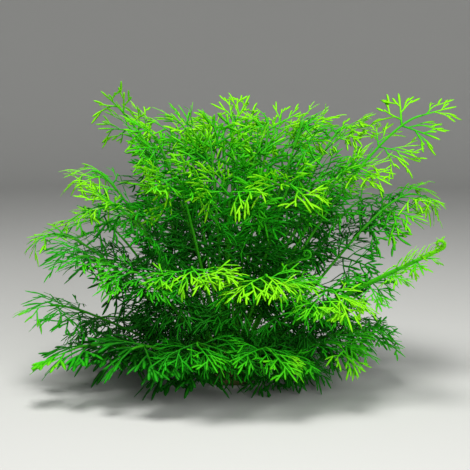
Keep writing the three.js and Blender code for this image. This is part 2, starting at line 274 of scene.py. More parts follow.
def chance(frond, leaflet, use):
    """A number from 0 to 1 that is the same each run. use keeps one leaflet's numbers apart."""
    wave = math.sin(frond * 12.9898 + leaflet * 78.233 + use * 37.719) * 43758.5453
    return wave - math.floor(wave)


def around(spread, frond, leaflet, use):
    return spread * (2 * chance(frond, leaflet, use) - 1)


def turn_about(vector, axis, degrees):
    return Quaternion(axis, math.radians(degrees)) @ vector


def mix(a, b, share):
    return a + (b - a) * share


class Frond:
    """One frond's stalk: a cubic curve from the crown to the foot of its last leaflet."""

    def __init__(self, number, row, azimuth, elevation):
        x, y, z, nod, self.turn, self.habit = row
        self.number = number
        kind = "young_frond" if self.habit == "young" else "frond"
        self.name = f"{kind}_{number:02d}"
        a, e = math.radians(azimuth), math.radians(elevation)
        out = Vector((math.cos(a) * math.cos(e), math.sin(a) * math.cos(e), math.sin(e)))
        root = Vector((out.x * CROWN_RADIUS, out.y * CROWN_RADIUS, CROWN_WAIST + out.z * CROWN_RISE))
        root += out * CROWN_GAP
        tip = Vector((x, y, z))
        bow = root.lerp(tip, BOW_SHARE)
        bow.z = z + nod
        self.rolled = "rolled" in HABITS[self.habit]
        if not self.rolled:
            tip += (bow - tip).normalized() * END_LENGTH * HABITS[self.habit]["reach"]
        start = root + out * START_SHARE * (tip - root).length
        aside = Vector((root.y - tip.y, tip.x - root.x, 0)).normalized()
        bow += aside * around(SWAY, number, 0, 5)
        self.out = out
        self.points = (root, start, bow, tip)
        steps = [self.at(i / LENGTH_STEPS) for i in range(LENGTH_STEPS + 1)]
        self.length = sum((b - a).length for a, b in zip(steps, steps[1:]))

    def at(self, t):
        u = 1 - t
        root, start, bow, tip = self.points
        return root * u**3 + start * 3 * u * u * t + bow * 3 * u * t * t + tip * t**3

    def frame(self, t):
        """Along the stalk, to its left, and the way its upper side faces."""
        root, tip = self.points[0], self.points[3]
        small = 0.0001
        along = (self.at(min(t + small, 1)) - self.at(max(t - small, 0))).normalized()
        left = Vector((root.y - tip.y, tip.x - root.x, 0))
        left = (left - along * left.dot(along)).normalized()
        left = turn_about(left, along, self.turn * t)
        return along, left, along.cross(left)

    def radius(self, t):
        habit = HABITS[self.habit]
        thick = habit["thick"] * math.sqrt(self.length / USUAL_LENGTH)
        return mix(thick, habit.get("thin", STALK_THIN), t**STALK_TAPER)


def all_fronds():
    fronds = []
    for elevation, first, rows in RINGS:
        for i, row in enumerate(rows):
            fronds.append(Frond(len(fronds) + 1, row, first + 360 * i / len(rows), elevation))
    return fronds


# Where the leaflets stand


class Stance:
    """Where a leaflet starts, which way it points and faces, and how long it is."""

    def __init__(self, foot, ahead, normal, length, hand):
        self.foot, self.ahead, self.normal = foot, ahead, normal
        self.length, self.hand = length, hand

    def turned(self, turns, size=1):
        swing, lift, roll = turns
        ahead = turn_about(self.ahead, self.normal, swing * self.hand)
        across = ahead.cross(self.normal)
        ahead = turn_about(ahead, across, lift)
        normal = turn_about(self.normal, across, lift)
        normal = turn_about(normal, ahead, roll * self.hand)
        return Stance(self.foot, ahead, normal, self.length * size, self.hand)

    def tip(self):
        return self.foot + self.ahead * self.length - self.normal * SAG * self.length


def first_stance(frond, pair, side):
    """How a leaflet stands before it makes room for its neighbours. side is 1, -1, or 0 at the tip."""
    habit = HABITS[frond.habit]
    share = 1 if side == 0 else pair / habit["pairs"]
    t = mix(habit["bare"], 1, share)
    along, left, face = frond.frame(t)
    foot = frond.at(t)
    number = 3 * pair + side + 1
    angle = 0 if side == 0 else math.radians(mix(*habit["spread"], share))
    out = Vector((foot.x, foot.y, 0)).normalized()
    level = (UP + out * OUTWARD_LEAN).normalized()
    ahead = along * math.cos(angle) + left * side * math.sin(angle)
    flat = END_LEVEL * habit["level"] if side == 0 else habit["level"]
    ahead = (ahead - level * flat * ahead.dot(level)).normalized()
    normal = face.lerp(level, habit["level"])
    normal = (normal - ahead * normal.dot(ahead)).normalized()
    lost = habit.get("shortening", SHORTENING) * share**SHORTENING_POWER
    taper = END_LENGTH if side == 0 else 1 - lost
    length = habit["reach"] * taper * (1 + around(LOOSE_LENGTH, frond.number, number, 1))
    turns = (
        around(LOOSE_SWING, frond.number, number, 2),
        around(LOOSE_LIFT, frond.number, number, 3),
        around(LOOSE_ROLL, frond.number, number, 4),
    )
    return Stance(foot, ahead, normal, length, side or 1).turned(turns)


def corners_of(node):
    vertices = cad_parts[node].data.vertices
    tree = KDTree(len(vertices))
    for vertex in vertices:
        tree.insert(vertex.co / MM, vertex.index)
    tree.balance()
    return tree


def stances_of(frond):
    """The leaflets that the frond's solid has: each is the turn and size whose tip is a corner of it."""
    corners = corners_of(frond.name)
    pairs = HABITS[frond.habit]["pairs"]
    found = []
    for pair in range(pairs if frond.rolled else pairs + 1):
        for side in (0,) if pair == pairs else (1, -1):
            first = first_stance(frond, pair, side)
            tried = [first.turned(turns, size) for size in LEAFLET_SIZES for turns in LEAFLET_TURNS]
            distance, best = min(((corners.find(one.tip())[2], n) for n, one in enumerate(tried)))
            if distance < MATCH:
                found.append(tried[best])
    return found


# The cut blades


class Blade:
    """A leaflet's blade as one closed mesh: each axis is a flat tube of four sides, and a branch grows out of
    three neighbouring edge corners of its parent."""

    def __init__(self, kind, length, seed):
        self.cut = CUTS[kind]
        self.length = length
        self.dice = random.Random(f"{kind} {length} {seed}")
        self.points = []
        self.tips = []
        self.edges = []
        self.faces = []
        ahead, across = Vector((1, 0, 0)), Vector((0, 1, 0))
        wide = self.cut["wide"][0]
        ring = self.ring(Vector(), across, UP, wide, wide * FOOT_THICK, 0)
        right, over, left, under = (corner[0] for corner in ring)
        self.faces.append((right, over, left, under))
        self.grow(ring, Vector(), ahead, across, length, 0, 1, 0)

    def point(self, place, tip, edge):
        self.points.append(place)
        self.tips.append(tip)
        self.edges.append(edge)
        return len(self.points) - 1

    def ring(self, centre, across, normal, wide, swell, tip):
        """Right edge, upper middle, left edge, lower middle. An edge holds its upper and lower corner."""
        right = self.point(centre - across * wide, tip, 1)
        over = self.point(centre + normal * swell, tip, 0)
        left = self.point(centre + across * wide, tip, 1)
        under = self.point(centre - normal * swell, tip, 0)
        return [[right, right], [over, over], [left, left], [under, under]]

    def split(self, ring, edge, normal, swell, tip):
        """Parts the upper and lower corner of a ring's edge, where a branch will grow."""
        place = self.points[ring[edge][0]]
        ring[edge] = [
            self.point(place + normal * swell, tip, BRANCH_EDGE),
            self.point(place - normal * swell, tip, BRANCH_EDGE),
        ]

    def join(self, near, far):
        """The four sides of a tube between two rings."""
        (right, over, left, under), (right2, over2, left2, under2) = near, far
        self.faces.append((right[0], right2[0], over2[0], over[0]))
        self.faces.append((over[0], over2[0], left2[0], left[0]))
        self.faces.append((right[1], under[0], under2[0], right2[1]))
        self.faces.append((under[0], left[1], left2[1], under2[0]))

    def close(self, ring, end):
        right, over, left, under = ring
        self.faces.append((right[0], end, over[0]))
        self.faces.append((over[0], end, left[0]))
        self.faces.append((right[1], under[0], end))
        self.faces.append((under[0], left[1], end))

    def branches(self, rank, length):
        """The branches of an axis: the middle of each one's foot, its side, its lean and its length."""
        cut, dice = self.cut, self.dice
        if rank > 2:
            return []
        branches = []
        closer = mix(SMALL_STEPS, 1, self.length / CUT_LENGTHS[-1])
        side = dice.choice((1, -1))
        middle = cut["first"][rank] * length + cut["span"][rank] / 2
        while middle < length - cut["span"][rank]:
            share = middle / length
            lean = mix(*cut["angle"][rank], share) + dice.uniform(-LEAN_SPREAD, LEAN_SPREAD)
            turned = math.radians(lean)
            room = length - middle + cut["spare"][rank]
            reach = cut["fill"][rank] * room / (math.sin(turned) + FORWARD_COST * math.cos(turned))
            reach *= dice.uniform(*REACH_SPREAD)
            if reach > cut["least"][rank]:
                branches.append((middle, side, lean, reach))
            side = -side
            middle += cut["step"][rank] * (1 - CROWDING * share) * closer
            if rank == 2:
                break
        return branches

    def stops(self, rank, length, branches):
        """Where the rings of an axis stand, each with its half width and the branch that grows there."""
        wide = self.cut["wide"]
        half = self.cut["span"][min(rank, 2)] / 2
        stops = []
        last = 0
        for branch in branches:
            middle = branch[0]
            start = max(middle - half, last)
            if start - last > SHORTEST_STEP or not stops:
                stops.append((start, None))
            stops.append((middle, branch))
            last = middle + half
            stops.append((last, None))
        axis = wide[min(rank, 2)]
        placed = [(s, axis * (1 - NARROWING * s / length), branch) for s, branch in stops]
        rest = length - last
        ends = LONG_STRAP if rest > LONG_SEGMENT else SHORT_STRAP
        return placed + [(last + rest * share, wide[2] * part, None) for share, part in ends]

    def grow(self, ring, foot, ahead, across, length, rank, side, tip):
        """Adds an axis that starts at a ring, and everything that branches from it."""
        cut, dice = self.cut, self.dice
        row = min(rank, 2)
        normal = ahead.cross(across)
        if rank:
            curl = -side * dice.uniform(*CURL_RANGE) * cut["curl"][row]
        else:
            curl = dice.uniform(-1, 1) * MAIN_CURL
        arch = dice.uniform(*ARCH_RANGE) * cut["curl"][row]

        def stand(s):
            """The axis's place and directions at s, after its curl in the plane and its arch out of it."""
            share = s / length
            bent = turn_about(ahead, normal, curl * share / 2)
            place = foot + turn_about(bent, across, -arch * share / 2) * s
            ahead2 = turn_about(turn_about(ahead, normal, curl * share), across, -arch * share)
            across2 = (across - ahead2 * across.dot(ahead2)).normalized()
            return place, ahead2, across2, ahead2.cross(across2)

        rings = [(0, ring, None)]
        for s, half, branch in self.stops(rank, length, self.branches(rank, length)):
            place, _, across2, normal2 = stand(s)
            here = mix(tip, 1, s / length)
            swell = half * AXIS_SWELL if rank < 2 else SEGMENT_SWELL
            made = self.ring(place, across2, normal2, half, swell, here)
            if branch:
                self.split(made, 2 if branch[1] > 0 else 0, normal2, swell * BRANCH_SWELL, here)
            rings.append((s, made, branch))
        for (_, near, _), (_, far, _) in zip(rings, rings[1:]):
            self.join(near, far)
        self.close(rings[-1][1], self.point(stand(length)[0], 1, 1))

        for i, (s, made, branch) in enumerate(rings):
            if not branch:
                continue
            _, side2, lean, reach = branch
            place, ahead2, across2, normal2 = stand(s)
            edge = 2 if side2 > 0 else 0
            basal, distal = rings[i - 1][1][edge], rings[i + 1][1][edge]
            over, under = made[edge]
            left, right = (basal, distal) if side2 > 0 else (distal, basal)
            start_ring = [[right[0]] * 2, [over] * 2, [left[0]] * 2, [under] * 2]
            ahead3 = turn_about(ahead2, normal2, side2 * lean)
            across3 = normal2.cross(ahead3)
            ahead3 = turn_about(ahead3, across3, dice.uniform(-1, 1) * cut["tilt"][row])
            start = (self.points[over] + self.points[under]) / 2
            self.grow(start_ring, start, ahead3, across3, reach, rank + 1, side2, mix(tip, 1, s / length))

    def bent(self):
        """The blade's corners, sized to end where its leaflet does and sagged as the whole leaflet is."""
        fit = self.length / max(point.x for point in self.points)
        corners = []
        for point in self.points:
            x, y, z = point * fit
            sag = SAG * x * abs(x) / self.length + SIDE_SAG * y * y
            corners.append(Vector((x, y, z - sag)) * MM)
        return corners


def add_attribute(mesh, name, kind, values):
    attribute = mesh.attributes.new(name, kind, "POINT")
    key = "vector" if kind == "FLOAT_VECTOR" else "value"
    flat = [part for value in values for part in value] if key == "vector" else values
    attribute.data.foreach_set(key, flat)


def blade_collection():
    """Every blade that the fronds pick from, in the order of their names."""
    collection = bpy.data.collections.new("blades")
    names = [
        (kind, length, seed) for kind in sorted(CUTS) for length in CUT_LENGTHS for seed in range(CUT_SEEDS)
    ]
    for n, (kind, length, seed) in enumerate(names):
        blade = Blade(kind, length, seed)
        mesh = bpy.data.meshes.new(f"blade_{n:03d}")
        mesh.from_pydata(blade.bent(), [], blade.faces)
        add_attribute(mesh, "tip", "FLOAT", blade.tips)
        add_attribute(mesh, "edge", "FLOAT", blade.edges)
        collection.objects.link(bpy.data.objects.new(mesh.name, mesh))
    return collection, names


# Nodes, for shapes and for materials


def add_node(tree, kind, settings=None, inputs=None):
    """Adds a node: its settings first, then the value or link of each socket."""
    node = tree.nodes.new(kind)
    for name, value in (settings or {}).items():
        if name == "stops":
            ramp = node.color_ramp
            while len(ramp.elements) < len(value):
                ramp.elements.new(0.5)
            for element, (position, colour) in zip(ramp.elements, value):
                element.position = position
                element.color = (*colour, 1)
        else:
            setattr(node, name, value)
    for name, value in (inputs or {}).items():
        socket = node.inputs[name]
        if isinstance(value, Value):
            value = value.socket
        if isinstance(value, bpy.types.NodeSocket):
            tree.links.new(value, socket)
        else:
            socket.default_value = value
    return node


class Value:
    """A number's socket. An expression on it adds the Math nodes that work it out."""

    def __init__(self, tree, socket):
        self.tree, self.socket = tree, socket

    def math(self, operation, first, second=0.0):
        node = add_node(self.tree, "ShaderNodeMath", {"operation": operation}, {0: first, 1: second})
        return Value(self.tree, node.outputs[0])

    def __add__(self, other):
        return self.math("ADD", self, other)

    def __radd__(self, other):
        return self.math("ADD", other, self)

    def __sub__(self, other):
        return self.math("SUBTRACT", self, other)

    def __rsub__(self, other):
        return self.math("SUBTRACT", other, self)

    def __mul__(self, other):
        return self.math("MULTIPLY", self, other)

    def __rmul__(self, other):
        return self.math("MULTIPLY", other, self)

    def __pow__(self, other):
        return self.math("POWER", self, other)

    def clamped(self):
        return self.math("MINIMUM", self.math("MAXIMUM", self, 0.0), 1.0)


class Finish:
    """A material being made, with short ways to its usual nodes."""

    def __init__(self, name):
        self.material = bpy.data.materials.new(name)
        self.material.use_nodes = True
        self.tree = self.material.node_tree
        self.tree.nodes.clear()

    def node(self, kind, settings=None, inputs=None):
        return add_node(self.tree, kind, settings, inputs)

    def attribute(self, name):
        return Value(self.tree, self.node("ShaderNodeAttribute", {"attribute_name": name}).outputs["Fac"])

    def noise(self, scale, detail=3.0, stretch=(1, 1, 1)):
        """Noise in the object's own coordinates. scale is in waves a metre."""
        place = self.node("ShaderNodeTexCoord").outputs["Object"]
        place = self.node("ShaderNodeMapping", None, {"Vector": place, "Scale": stretch}).outputs[0]
        node = self.node("ShaderNodeTexNoise", None, {"Vector": place, "Scale": scale, "Detail": detail})
        return Value(self.tree, node.outputs["Fac"])

    def ramp(self, value, stops):
        return self.node("ShaderNodeValToRGB", {"stops": stops}, {"Fac": value}).outputs["Color"]

    def blend(self, share, first, second):
        settings = {"data_type": "RGBA", "clamp_factor": True}
        node = self.node("ShaderNodeMix", settings)
        for index, value in ((0, share), (6, first), (7, second)):
            value = value.socket if isinstance(value, Value) else value
            if isinstance(value, bpy.types.NodeSocket):
                self.tree.links.new(value, node.inputs[index])
            else:
                node.inputs[index].default_value = value if index == 0 else (*value, 1)
        return node.outputs[2]

    def bump(self, height, strength, distance):
        inputs = {"Height": height, "Strength": strength, "Distance": distance}
        return self.node("ShaderNodeBump", None, inputs).outputs["Normal"]

    def output(self, surface):
        self.node("ShaderNodeOutputMaterial", None, {"Surface": surface})
        return self.material


# Materials

LIME = (0.34, 0.92, 0.01)
FRESH_GREEN = (0.07, 0.6, 0.006)
LEAF_GREEN = (0.012, 0.36, 0.005)
DEEP_GREEN = (0.002, 0.09, 0.003)
STALK_GREEN = (0.06, 0.44, 0.01)
GLOW_GREEN = (0.13, 0.9, 0.008)
PAINTED_LIGHT_RAISES = 1.1  # how much each of these raises a leaf's green from 0, deep green, to 1, lime; this one is painted light and shade, the rest are the leaf's own freshness
TONE_FRESHENS = 0.55
TIP_FRESHENS = 0.42
PATCHES_FRESHEN = 0.4
FRESHNESS_AND_SHADE_START = -0.98
GROWTH_IN_PAINTED_SHADE = 0.42  # what the tone and the tip count for in deep painted shade
GROWTH_IN_PAINTED_LIGHT = 0.9  # and what full painted light adds to that
YOUNG_FRESHENS = 0.35
PATCH_WAVES = 38.0  # waves a metre, in this and the next two
GRAIN_WAVES = 2000.0
FINE_GRAIN_WAVES = 7000.0


def leaf_finish(name, young=0.0):
    """Thin green leaf: painted shade makes it deep green low inside the plant, and painted light with its own
    fresher tips makes it lime at the tips of the upper leaflets.
    """
    finish = Finish(name)
    light = finish.attribute("light")
    tone = finish.attribute("tone")
    tip = finish.attribute("tip")
    edge = finish.attribute("edge")
    patches = finish.noise(PATCH_WAVES, 2.0)
    grain = finish.noise(GRAIN_WAVES, 3.0)
    growth = tone * TONE_FRESHENS + tip * TIP_FRESHENS
    growth = growth * (light * GROWTH_IN_PAINTED_LIGHT + GROWTH_IN_PAINTED_SHADE)
    # Painted light and shade: the light attribute turns the green deeper inside and low in the plant and
    # limer at its top and outside, and also sets how much light the leaf lets through.
    raised = light * PAINTED_LIGHT_RAISES + growth + patches * PATCHES_FRESHEN
    freshness_and_painted_shade = (raised + (FRESHNESS_AND_SHADE_START + young)).clamped()
    stops = ((0.0, DEEP_GREEN), (0.4, LEAF_GREEN), (0.68, FRESH_GREEN), (0.92, LIME))
    colour = finish.ramp(freshness_and_painted_shade, stops)
    rib = (1 - edge) ** 3.0
    ribbed = finish.blend(rib * (1 - tip * 0.6) * 0.6, colour, STALK_GREEN)
    rimmed = finish.blend(edge**3.0 * 0.3, ribbed, DEEP_GREEN)
    mottled = finish.blend(grain * grain * 0.45, rimmed, DEEP_GREEN)
    height = grain * 0.5 + finish.noise(FINE_GRAIN_WAVES, 1.0) * 0.2 + rib * 0.5
    normal = finish.bump(height, 0.5, 0.0002)
    inputs = {
        "Base Color": mottled,
        "Roughness": 0.34 + grain * 0.2,
        "Specular IOR Level": 0.06,
        "Normal": normal,
    }
    skin = finish.node("ShaderNodeBsdfPrincipled", None, inputs).outputs["BSDF"]
    glow = finish.node("ShaderNodeBsdfTranslucent", None, {"Color": (*GLOW_GREEN, 1)}).outputs["BSDF"]
    inputs = {0: 0.08 + freshness_and_painted_shade * 0.26, 1: skin, 2: glow}
    return finish.output(finish.node("ShaderNodeMixShader", None, inputs).outputs[0])


def crown_finish():
    """The rootstock: brown-green and rough, darker in its hollows."""
    finish = Finish("crown")
    lumps = finish.noise(140.0, 4.0)
    fibres = finish.noise(420.0, 3.0, (1, 1, 0.15))
    stops = ((0.3, (0.03, 0.03, 0.01)), (0.52, (0.11, 0.1, 0.03)), (0.75, (0.2, 0.24, 0.06)))
    colour = finish.ramp(lumps * 0.6 + fibres * 0.4, stops)
    normal = finish.bump(lumps * 0.5 + fibres * 0.5, 0.7, 0.001)
    inputs = {"Base Color": colour, "Roughness": 0.7 + fibres * 0.25, "Normal": normal}
    return finish.output(finish.node("ShaderNodeBsdfPrincipled", None, inputs).outputs["BSDF"])


def scale_finish():
    """The papery brown scales on the crown."""
    finish = Finish("scales")
    streaks = finish.noise(700.0, 3.0, (1, 1, 0.25))
    colour = finish.ramp(streaks, ((0.3, (0.1, 0.05, 0.015)), (0.7, (0.36, 0.22, 0.08))))
    normal = finish.bump(streaks, 0.5, 0.0004)
    inputs = {"Base Color": colour, "Roughness": 0.55 + streaks * 0.3, "Normal": normal}
    return finish.output(finish.node("ShaderNodeBsdfPrincipled", None, inputs).outputs["BSDF"])


def floor_finish():
    finish = Finish("floor")
    inputs = {"Base Color": (0.46, 0.46, 0.45, 1), "Roughness": 0.9}
    return finish.output(finish.node("ShaderNodeBsdfPrincipled", None, inputs).outputs["BSDF"])


# Node trees that make shapes


def new_shape_tree(name, inputs):
    """A tree with a geometry going in and out, and the named inputs."""
    tree = bpy.data.node_groups.new(name, "GeometryNodeTree")
    tree.interface.new_socket("Geometry", in_out="INPUT", socket_type="NodeSocketGeometry")
    for label, kind in inputs:
        tree.interface.new_socket(label, in_out="INPUT", socket_type=kind)
    tree.interface.new_socket("Geometry", in_out="OUTPUT", socket_type="NodeSocketGeometry")
    return tree, tree.nodes.new("NodeGroupInput").outputs


def named(tree, name, kind):
    node = add_node(tree, "GeometryNodeInputNamedAttribute", {"data_type": kind}, {"Name": name})
    return node.outputs["Attribute"]


def finish_shape_tree(tree, geometry, material):
    """Realizes what the tree made, gives it its material and sends it out."""
    real = add_node(tree, "GeometryNodeRealizeInstances", None, {"Geometry": geometry}).outputs[0]
    inputs = {"Geometry": real, "Material": material}
    painted = add_node(tree, "GeometryNodeSetMaterial", None, inputs).outputs[0]
    tree.links.new(painted, tree.nodes.new("NodeGroupOutput").inputs["Geometry"])


def frond_tree():
    """A round stalk along the edges, and a picked blade on each loose point, kept off the floor."""
    tree, given = new_shape_tree(
        "frond",
        (
            ("Blades", "NodeSocketCollection"),
            ("Stalk Sides", "NodeSocketInt"),
            ("Floor Gap", "NodeSocketFloat"),
            ("Material", "NodeSocketMaterial"),
        ),
    )
    line = add_node(tree, "GeometryNodeMeshToCurve", None, {"Mesh": given["Geometry"]}).outputs[0]
    circle = add_node(
        tree, "GeometryNodeCurvePrimitiveCircle", None, {"Resolution": given["Stalk Sides"], "Radius": 1.0}
    )
    stalk = add_node(
        tree,
        "GeometryNodeCurveToMesh",
        None,
        {
            "Curve": line,
            "Profile Curve": circle.outputs["Curve"],
            "Scale": named(tree, "thickness", "FLOAT"),
            "Fill Caps": True,
        },
    ).outputs[0]
    feet = add_node(
        tree,
        "GeometryNodeMeshToPoints",
        None,
        {"Mesh": given["Geometry"], "Selection": named(tree, "leaflet", "BOOLEAN")},
    ).outputs[0]
    choice = add_node(
        tree,
        "GeometryNodeCollectionInfo",
        None,
        {"Collection": given["Blades"], "Separate Children": True, "Reset Children": True},
    ).outputs[0]
    turn = add_node(
        tree,
        "FunctionNodeAxesToRotation",
        {"primary_axis": "X", "secondary_axis": "Z"},
        {
            "Primary Axis": named(tree, "ahead", "FLOAT_VECTOR"),
            "Secondary Axis": named(tree, "normal", "FLOAT_VECTOR"),
        },
    ).outputs[0]
    blades = add_node(
        tree,
        "GeometryNodeInstanceOnPoints",
        None,
        {
            "Points": feet,
            "Instance": choice,
            "Pick Instance": True,
            "Instance Index": named(tree, "blade", "INT"),
            "Rotation": turn,
            "Scale": named(tree, "size", "FLOAT"),
        },
    ).outputs[0]
    joined = tree.nodes.new("GeometryNodeJoinGeometry")
    tree.links.new(stalk, joined.inputs[0])
    tree.links.new(blades, joined.inputs[0])
    real = add_node(tree, "GeometryNodeRealizeInstances", None, {"Geometry": joined.outputs[0]}).outputs[0]
    place = tree.nodes.new("GeometryNodeInputPosition").outputs[0]
    parts = add_node(tree, "ShaderNodeSeparateXYZ", None, {0: place}).outputs
    height = add_node(tree, "ShaderNodeMath", {"operation": "MAXIMUM"}, {0: parts[2], 1: given["Floor Gap"]})
    raised = add_node(tree, "ShaderNodeCombineXYZ", None, {0: parts[0], 1: parts[1], 2: height.outputs[0]})
    kept = add_node(
        tree, "GeometryNodeSetPosition", None, {"Geometry": real, "Position": raised.outputs[0]}
    ).outputs[0]
    smooth = add_node(tree, "GeometryNodeSetShadeSmooth", None, {"Geometry": kept}).outputs[0]
    finish_shape_tree(tree, smooth, given["Material"])
    return tree


def scatter_tree():
    """Sets one small shape all over a surface, each standing out of it with its own turn and size."""
    tree, given = new_shape_tree(
        "scatter",
        (
            ("Shape", "NodeSocketObject"),
            ("Spacing", "NodeSocketFloat"),
            ("Density", "NodeSocketFloat"),
            ("Lean", "NodeSocketFloat"),
            ("Smallest", "NodeSocketFloat"),
            ("Seed", "NodeSocketInt"),
            ("Material", "NodeSocketMaterial"),
        ),
    )
    spread = add_node(
        tree,
        "GeometryNodeDistributePointsOnFaces",
        {"distribute_method": "POISSON"},
        {
            "Mesh": given["Geometry"],
            "Distance Min": given["Spacing"],
            "Density Max": given["Density"],
            "Seed": given["Seed"],
        },
    )
    shape = add_node(tree, "GeometryNodeObjectInfo", None, {"Object": given["Shape"]}).outputs["Geometry"]
    size = add_node(
        tree,
        "FunctionNodeRandomValue",
        {"data_type": "FLOAT"},
        {2: given["Smallest"], 3: 1.0, "Seed": given["Seed"]},
    ).outputs[1]
    upward = add_node(
        tree,
        "FunctionNodeAxesToRotation",
        {"primary_axis": "Z", "secondary_axis": "X"},
        {"Primary Axis": spread.outputs["Normal"], "Secondary Axis": (0.0, 0.0, 1.0)},
    ).outputs[0]
    swing = add_node(
        tree,
        "FunctionNodeRandomValue",
        {"data_type": "FLOAT_VECTOR"},
        {0: (-0.5, -0.2, -0.9), 1: (0.5, 0.6, 0.9), "Seed": given["Seed"]},
    ).outputs[0]
    swung = add_node(
        tree,
        "FunctionNodeRotateRotation",
        {"rotation_space": "LOCAL"},
        {0: upward, 1: swing},
    ).outputs[0]
    set_on = add_node(
        tree,
        "GeometryNodeInstanceOnPoints",
        None,
        {"Points": spread.outputs["Points"], "Instance": shape, "Rotation": swung, "Scale": size},
    ).outputs[0]
    finish_shape_tree(tree, set_on, given["Material"])
    return tree


def made_piece(name, base, tree, inputs, slot, *nodes):
    """Runs a shape tree on a mesh and keeps the plain mesh that comes out, riding on the plant."""
    carrier = bpy.data.objects.new(f"{name}_base", base)
    bpy.context.scene.collection.objects.link(carrier)
    modifier = carrier.modifiers.new("shape", "NODES")
    modifier.node_group = tree
    for item in tree.interface.items_tree:
        if item.item_type == "SOCKET" and item.in_out == "INPUT" and item.name in inputs:
            modifier[item.identifier] = inputs[item.name]
    carrier.update_tag()
    graph = bpy.context.evaluated_depsgraph_get()
    mesh = bpy.data.meshes.new_from_object(carrier.evaluated_get(graph), depsgraph=graph)
    carrier.modifiers.remove(modifier)
    bpy.data.objects.remove(carrier)
    return kept_piece(name, mesh, slot, *nodes)


def kept_piece(name, mesh, slot, *nodes):
    mesh.name = name
    piece = bpy.data.objects.new(name, mesh)
    bpy.context.scene.collection.objects.link(piece)
    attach(piece, "root")
    if nodes:
        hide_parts(*nodes)
    return piece


# The fronds

STALK_POINTS = 40
STALK_SIDES = 10
SUNK = 2.5  # how far a stalk's foot goes into the crown
FOOT_SWELL = 0.35  # how much thicker a stalk's foot is
FOOT_LENGTH = 16
ROLL_POINTS = 40
DOME_RISES = (35, 60, 80)  # the rounded end of a stalk, in degrees up its dome
# These set the painted light and shade in the leaf colour: fewer leaflets above and a place further out paint
# it lighter.
SHADE_RISE = 8  # a leaflet this far above another, and within reach, shades it
SHADE_REACH = 18
SHADE_SPREAD = 0.2  # how much that reach grows with the height between them
SHADE_COUNT = 5  # this many leaflets above halve the light from above
ABOVE_LIGHT = 0.4
OUTSIDE_LIGHT = 0.52
OUTSIDE_REACH = 168  # a place this far out has all the light of the outside
HEIGHT_COUNTS = 0.75  # what height counts for in that, against distance from the axis
YOUNG_LENGTH = 190  # a frond shorter than this is younger, and a fresher green
BUDS = 11
BUD_STARTS = {"young": 0.62, "stout": 0.8}  # where a rolled frond's buds start
BUD_LENGTHS = {"young": (9, 5), "stout": (17, 8)}  # its first and its last bud
BUDS_END = 0.98
BUD_SPREAD = 0.6  # how far a bud leans to its side, where 1 is as far as it leans ahead
ROLL_BUD_STEP = 3  # points of the roll from one bud to the next
ROLL_BUD_SIZE = 0.9  # the roll's first bud, as a share of the stalk's last
ROLL_BUD_LOSS = 0.5  # how much of that the roll's last bud has lost
BLADE_MIDDLE = 0.6  # where along a leaflet its painted light is taken
FROND_TONES = 0.65  # how far apart the fronds' tones lie
YOUNG_TONE = 0.7  # what a frond's tone gains by being short
LEAFLET_TONES = 0.45  # how far a leaflet goes from its frond's tone to one of its own
# Sets which fronds are fresher. It was picked out of many draws, to suit the photo's bright and dark fronds.
TONE_DRAW = 1894
# How much fresher some fronds in front are than their draw, set from the photo.
FRESHER = {1: 1.5, 10: 0.8, 11: 1.2, 12: 1.9, 13: 0.9, 24: 0.5, 25: 0.6, 26: 0.9, 48: 0.5}


def stalk_line(frond):
    """Points and radii along the stalk, from inside the crown to its end."""
    line = [(frond.points[0] - frond.out * SUNK, frond.radius(0) * (1 + FOOT_SWELL))]
    for i in range(STALK_POINTS + 1):
        t = i / STALK_POINTS
        foot = math.exp(-t * frond.length / FOOT_LENGTH)
        line.append((frond.at(t), frond.radius(t) * (1 + FOOT_SWELL * foot)))
    return line


def roll_steps(frond):
    """Places and directions along a frond's roll, each with its share of the way."""
    along, left, _ = frond.frame(1)
    place = frond.at(1)
    turn = 2 * math.pi * ROLL_TURNS / ROLL_POINTS
    steps = []
    for i in range(1, ROLL_POINTS + 1):
        share = i / ROLL_POINTS
        along = Quaternion(left, -turn) @ along
        place = place + along * ROLL_RADIUS * (1 - ROLL_SHRINK * share) * turn
        steps.append((place, along, share))
    return steps


def roll_line(frond):
    """Points and radii of a frond's roll."""
    thin = frond.radius(1)
    return [(place, mix(thin, ROLL_THIN, share)) for place, _, share in roll_steps(frond)]


def dome(line):
    """The few points that round off the end of a line."""
    (before, _), (end, radius) = line[-2:]
    ahead = (end - before).normalized()
    rises = (math.radians(degrees) for degrees in DOME_RISES)
    return [(end + ahead * radius * math.sin(rise), radius * math.cos(rise)) for rise in rises]


def bud_stance(place, along, left, side, length):
    face = along.cross(left)
    ahead = (along + left * side * BUD_SPREAD + face).normalized()
    normal = (face - ahead * face.dot(ahead)).normalized()
    return Stance(place, ahead, normal, length, side)


def bud_stances(frond):
    """The small folded leaflets that a rolled frond has past its last full ones, and on its roll."""
    stances = []
    first, last = BUD_LENGTHS[frond.habit]
    for n in range(BUDS):
        share = n / (BUDS - 1)
        t = mix(BUD_STARTS[frond.habit], BUDS_END, share)
        along, left, _ = frond.frame(t)
        side = 1 if n % 2 else -1
        stances.append(bud_stance(frond.at(t), along, left, side, mix(first, last, share)))
    left = frond.frame(1)[1]
    for n, (place, along, share) in enumerate(roll_steps(frond)[::ROLL_BUD_STEP]):
        side = 1 if n % 2 else -1
        length = last * ROLL_BUD_SIZE * (1 - ROLL_BUD_LOSS * share)
        stances.append(bud_stance(place, along, left, side, length))
    return stances


def middle_of(stance):
    return stance.foot + stance.ahead * stance.length * BLADE_MIDDLE


